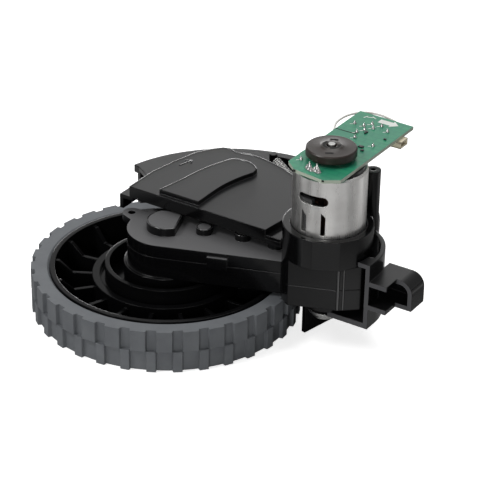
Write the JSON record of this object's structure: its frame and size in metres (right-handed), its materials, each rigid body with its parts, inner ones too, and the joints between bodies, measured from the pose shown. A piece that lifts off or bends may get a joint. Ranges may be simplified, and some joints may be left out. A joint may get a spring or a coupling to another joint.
{
  "type": "robot vacuum wheel module",
  "caption": "Sprung drive wheel module of a robot vacuum: lugged rubber tyre on a ribbed hub, swing arm gearbox, upright motor with encoder board, black moulded housing",
  "frame": {"origin": "on the wheel's axis, in the plane of the tyre's outer face, which lies on the table", "axes": "+Z along the wheel's axis from its outer face to the gearbox, +X along the fender's straight front edge towards the motor, +Y from the resting wheel to the wheel well"},
  "size_m": [0.1167, 0.1144, 0.0626],
  "materials": {
    "black_abs": "moulded, semi gloss",
    "grey_rubber": "matt",
    "nickel_steel": "satin plated",
    "pin_steel": "ground",
    "gear_resin": "moulded",
    "bearing_bronze": "sintered",
    "magnet": "sintered ferrite",
    "winding": "lacquered wire and steel core",
    "board_green": "solder mask",
    "disc_brown": "bonded ferrite",
    "cream_nylon": "moulded",
    "sensor_black": "moulded",
    "wire_white": "insulation"
  },
  "bodies": {
    "housing": {"housing": "black_abs", "swing_spring": "nickel_steel"},
    "arm": {"gearbox_case": "black_abs", "gearbox_cover": "black_abs", "pivot_washer": "pin_steel", "pivot_screw": "pin_steel", "output_bearing_lower": "bearing_bronze", "output_bearing_upper": "bearing_bronze", "pin_first": "pin_steel", "pin_second": "pin_steel", "pin_third": "pin_steel", "pin_fourth": "pin_steel", "motor_can": "nickel_steel", "magnet_north": "magnet", "magnet_south": "magnet", "motor_end_cap": "black_abs", "encoder_board": "board_green", "sensor_left": "sensor_black", "sensor_right": "sensor_black", "connector": "cream_nylon", "motor_terminal_left": "pin_steel", "motor_terminal_right": "pin_steel", "jumper_wire": "wire_white"},
    "wheel": {"tyre": "grey_rubber", "wheel_hub": "black_abs", "hub_screw": "pin_steel", "output_shaft": "pin_steel", "output_gear": "gear_resin"},
    "fourth_gear": {"gear_fourth": "gear_resin"},
    "third_gear": {"gear_third": "gear_resin"},
    "second_gear": {"gear_second": "gear_resin"},
    "first_gear": {"gear_first": "gear_resin"},
    "rotor": {"armature": "winding", "motor_shaft": "pin_steel", "motor_pinion": "gear_resin", "encoder_disc": "disc_brown"}
  },
  "joints": [
    {"name": "arm_swing", "type": "hinge", "parent": "housing", "child": "arm", "pos_m": [0.0494, 0.0089, 0.012], "axis": [0, 0, 1], "range_deg": [-33, 0], "stiffness_Nm_per_rad": 0.1, "springref_deg": 34.38, "deforming": ["swing_spring"]},
    {"name": "wheel_spin", "type": "hinge", "parent": "arm", "child": "wheel", "pos_m": [0, 0, 0.02], "axis": [0, 0, 1], "continuous": true},
    {"name": "fourth_spin", "type": "hinge", "parent": "arm", "child": "fourth_gear", "pos_m": [0.01077, 0.00373, 0.02], "axis": [0, 0, 1], "continuous": true},
    {"name": "third_spin", "type": "hinge", "parent": "arm", "child": "third_gear", "pos_m": [0.02202, 0.00714, 0.02], "axis": [0, 0, 1], "continuous": true},
    {"name": "second_spin", "type": "hinge", "parent": "arm", "child": "second_gear", "pos_m": [0.03243, 0.00852, 0.02], "axis": [0, 0, 1], "continuous": true},
    {"name": "first_spin", "type": "hinge", "parent": "arm", "child": "first_gear", "pos_m": [0.04085, 0.0117, 0.02], "axis": [0, 0, 1], "continuous": true},
    {"name": "rotor_spin", "type": "hinge", "parent": "arm", "child": "rotor", "pos_m": [0.0494, 0.0089, 0.02], "axis": [0, 0, 1], "continuous": true}
  ],
  "couplings": [
    {"joint": "fourth_spin", "follows": "wheel_spin", "ratio": -2.1667},
    {"joint": "third_spin", "follows": "wheel_spin", "ratio": 5.1071},
    {"joint": "second_spin", "follows": "wheel_spin", "ratio": -12.768},
    {"joint": "first_spin", "follows": "wheel_spin", "ratio": 29.018},
    {"joint": "rotor_spin", "follows": "wheel_spin", "ratio": -75.446}
  ]
}
